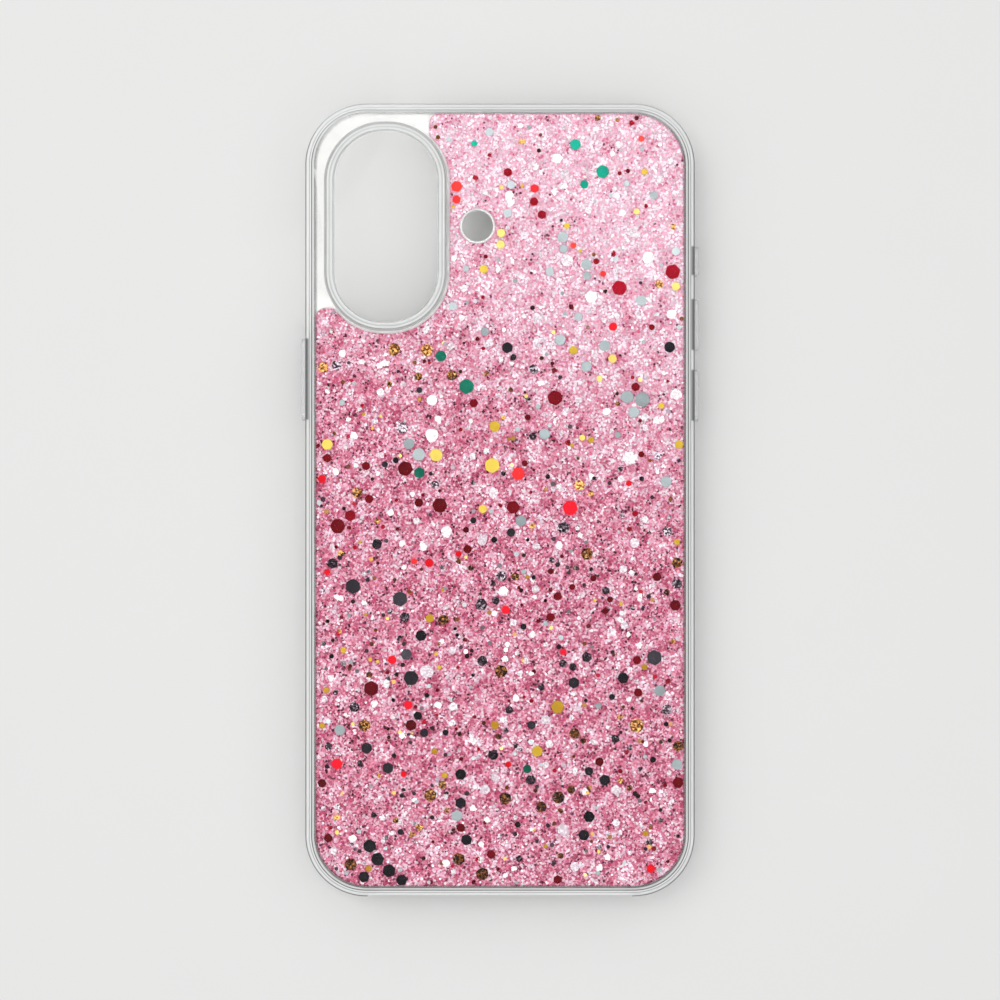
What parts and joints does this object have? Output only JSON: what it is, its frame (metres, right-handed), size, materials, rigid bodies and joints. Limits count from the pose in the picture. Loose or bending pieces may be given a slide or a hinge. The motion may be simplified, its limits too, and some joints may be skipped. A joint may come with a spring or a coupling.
{
  "type": "phone case",
  "caption": "Clear phone case with a pink glitter and sequin back, a raised camera ring, a flash hole, a wide port opening and sprung side buttons.",
  "frame": {"origin": "middle of the case, on the plane of its front lip", "axes": "+Z out of the back, +Y towards the phone's top edge, +X to the right as the back is seen"},
  "size_m": [0.0762, 0.1514, 0.0132],
  "materials": {
    "clear_soft_shell": "gloss",
    "clear_hard_plate": "gloss",
    "pink_glitter": "gloss",
    "clear_film": "gloss",
    "clear_liner": "gloss",
    "clear_ring": "gloss",
    "clear_button": "gloss",
    "clear_web": "satin",
    "scarlet_foil": "gloss",
    "ruby_foil": "gloss",
    "charcoal_foil": "gloss",
    "silver_foil": "gloss",
    "gold_foil": "gloss",
    "bronze_foil": "gloss",
    "smoke_foil": "gloss",
    "green_foil": "gloss",
    "pearl_foil": "gloss"
  },
  "bodies": {
    "case": {"bumper_frame": "clear_soft_shell", "outer_back_plate": "clear_hard_plate", "glitter_resin_sheet": "pink_glitter", "bond_film": "clear_film", "inner_liner_plate": "clear_liner", "camera_guard_ring": "clear_ring", "flash_sleeve": "clear_ring", "power_button_web": "clear_web", "action_button_web": "clear_web", "volume_up_button_web": "clear_web", "volume_down_button_web": "clear_web", "scarlet_sequins": "scarlet_foil", "ruby_sequins": "ruby_foil", "charcoal_sequins": "charcoal_foil", "silver_sequins": "silver_foil", "gold_sequins": "gold_foil", "bronze_sequins": "bronze_foil", "smoke_sequins": "smoke_foil", "green_sequins": "green_foil", "pearl_sequins": "pearl_foil"},
    "power_button_body": {"power_button": "clear_button"},
    "action_button_body": {"action_button": "clear_button"},
    "volume_up_button_body": {"volume_up_button": "clear_button"},
    "volume_down_button_body": {"volume_down_button": "clear_button"}
  },
  "joints": [
    {"name": "power_button_press", "type": "slide", "parent": "case", "child": "power_button_body", "axis": [1, 0, 0], "range_m": [0, 0.00035], "stiffness_N_per_m": 1200, "deforming": ["power_button_web"]},
    {"name": "action_button_press", "type": "slide", "parent": "case", "child": "action_button_body", "axis": [-1, 0, 0], "range_m": [0, 0.00035], "stiffness_N_per_m": 1200, "deforming": ["action_button_web"]},
    {"name": "volume_up_button_press", "type": "slide", "parent": "case", "child": "volume_up_button_body", "axis": [-1, 0, 0], "range_m": [0, 0.00035], "stiffness_N_per_m": 1200, "deforming": ["volume_up_button_web"]},
    {"name": "volume_down_button_press", "type": "slide", "parent": "case", "child": "volume_down_button_body", "axis": [-1, 0, 0], "range_m": [0, 0.00035], "stiffness_N_per_m": 1200, "deforming": ["volume_down_button_web"]}
  ]
}
